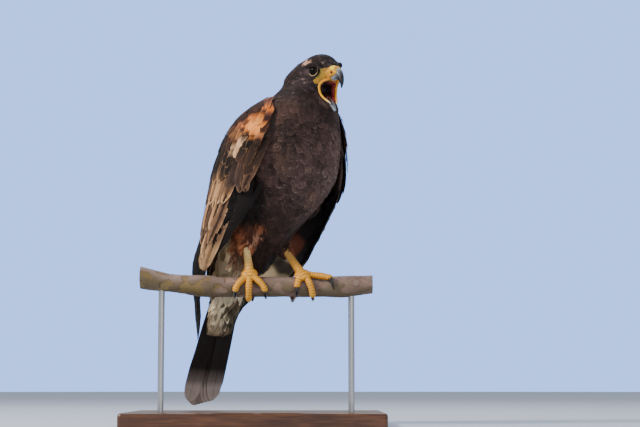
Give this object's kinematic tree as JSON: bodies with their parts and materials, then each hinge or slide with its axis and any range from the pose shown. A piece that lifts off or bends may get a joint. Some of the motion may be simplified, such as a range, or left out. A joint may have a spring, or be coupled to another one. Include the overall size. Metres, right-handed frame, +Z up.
{
  "type": "bird display model",
  "caption": "Life-size hawk calling with its bill open, perched on a short cut branch held by two rods on a flat rectangular base.",
  "frame": {"origin": "centre of the flat underside of the stand's base, which the model stands on", "axes": "+Z up, +X along the branch to the right as seen from the front, +Y away from the viewer at the front; the bird faces +X and turns 50 degrees towards -Y"},
  "size_m": [0.33, 0.23, 0.4724],
  "materials": {
    "body_plumage": "matte dark chocolate-brown feathers",
    "wing_plumage": "matte dark brown feathers with rufous shoulders and tan fringes",
    "tail_plumage": "blackish-brown feathers, white at the base and tip",
    "thigh_plumage": "matte rufous feathers",
    "eye": "glossy dark brown",
    "bare_skin": "satin yellow skin",
    "bill_horn": "blue-grey horn going black at the hook",
    "tongue": "moist pinkish grey",
    "leg_skin": "satin yellow scaled skin",
    "claw_horn": "polished black horn",
    "bark": "smooth grey-brown bark with olive and pinkish patches",
    "base_wood": "dark satin wood",
    "rod_steel": "brushed"
  },
  "bodies": {
    "root": {"torso": "body_plumage", "neck": "body_plumage", "head": "body_plumage", "eye_right": "eye", "eye_left": "eye", "bill_lower": "bill_horn", "cere": "bare_skin", "bill_upper": "bill_horn", "tongue": "tongue", "wing_right": "wing_plumage", "wing_left": "wing_plumage", "tail": "tail_plumage", "thigh_right": "thigh_plumage", "foot_right": "leg_skin", "claw_right_inner": "claw_horn", "claw_right_middle": "claw_horn", "claw_right_outer": "claw_horn", "claw_right_hind": "claw_horn", "thigh_left": "thigh_plumage", "foot_left": "leg_skin", "claw_left_inner": "claw_horn", "claw_left_middle": "claw_horn", "claw_left_outer": "claw_horn", "claw_left_hind": "claw_horn", "perch": "bark", "stand_base": "base_wood", "stand_rod_left": "rod_steel", "stand_rod_right": "rod_steel"}
  },
  "joints": []
}
